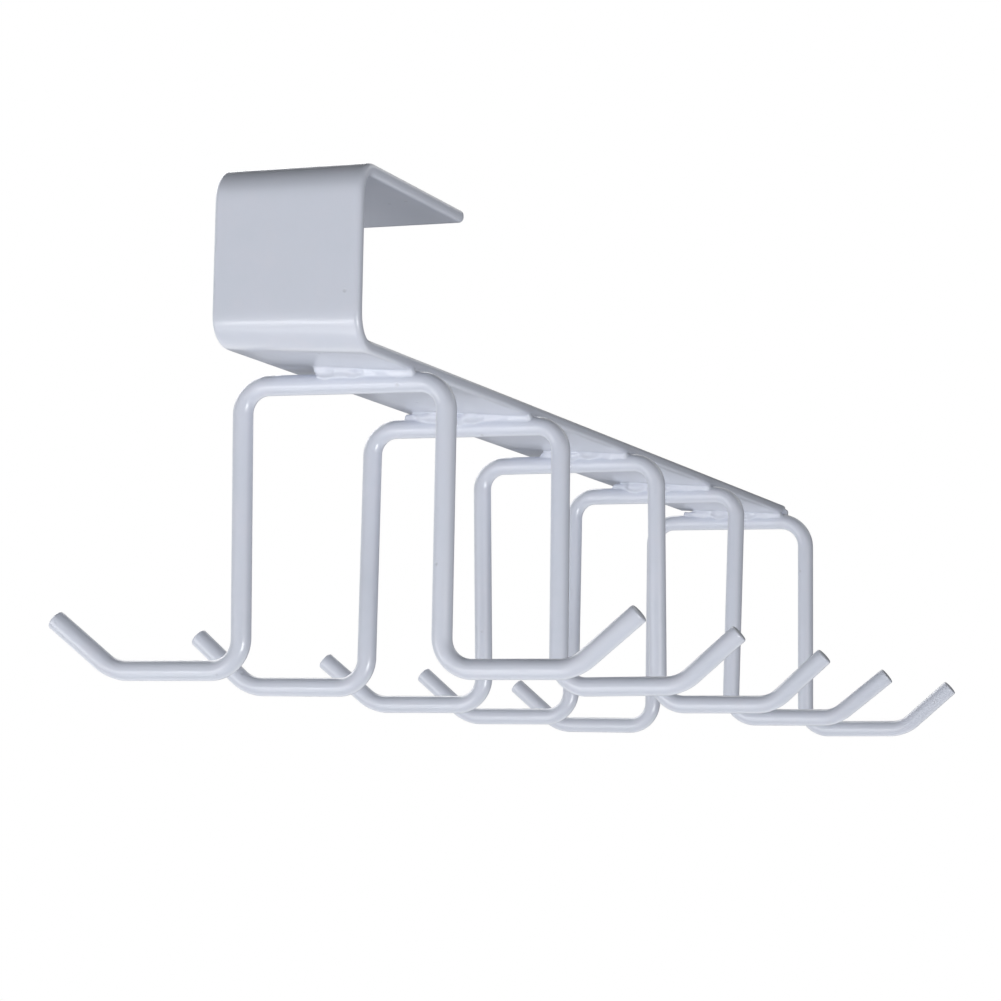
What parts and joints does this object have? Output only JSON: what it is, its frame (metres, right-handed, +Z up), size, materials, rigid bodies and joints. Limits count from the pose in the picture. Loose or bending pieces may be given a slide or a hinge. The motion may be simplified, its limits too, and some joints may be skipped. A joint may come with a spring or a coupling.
{
  "type": "under-shelf hook rack",
  "caption": "Flat bar bent to clip over a shelf board, with a row of double wire hooks welded under its long arm.",
  "frame": {"origin": "middle of the shelf seat, the flat underside of the top limb, 25 mm behind the outside of the front face", "axes": "+X across the bar, +Y back under the shelf along the arm, +Z up"},
  "size_m": [0.1172, 0.2799, 0.0903],
  "materials": {
    "bar_enamel": "glossy pale lavender-grey enamel",
    "wire_enamel": "glossy pale lavender-grey enamel",
    "weld_enamel": "glossy enamel over lumpy weld metal"
  },
  "bodies": {
    "root": {"clip_bar": "bar_enamel", "hook_wire_1": "wire_enamel", "hook_wire_2": "wire_enamel", "hook_wire_3": "wire_enamel", "hook_wire_4": "wire_enamel", "hook_wire_5": "wire_enamel", "weld_front_1": "weld_enamel", "weld_rear_1": "weld_enamel", "weld_front_2": "weld_enamel", "weld_rear_2": "weld_enamel", "weld_front_3": "weld_enamel", "weld_rear_3": "weld_enamel", "weld_front_4": "weld_enamel", "weld_rear_4": "weld_enamel", "weld_front_5": "weld_enamel", "weld_rear_5": "weld_enamel"}
  },
  "joints": []
}
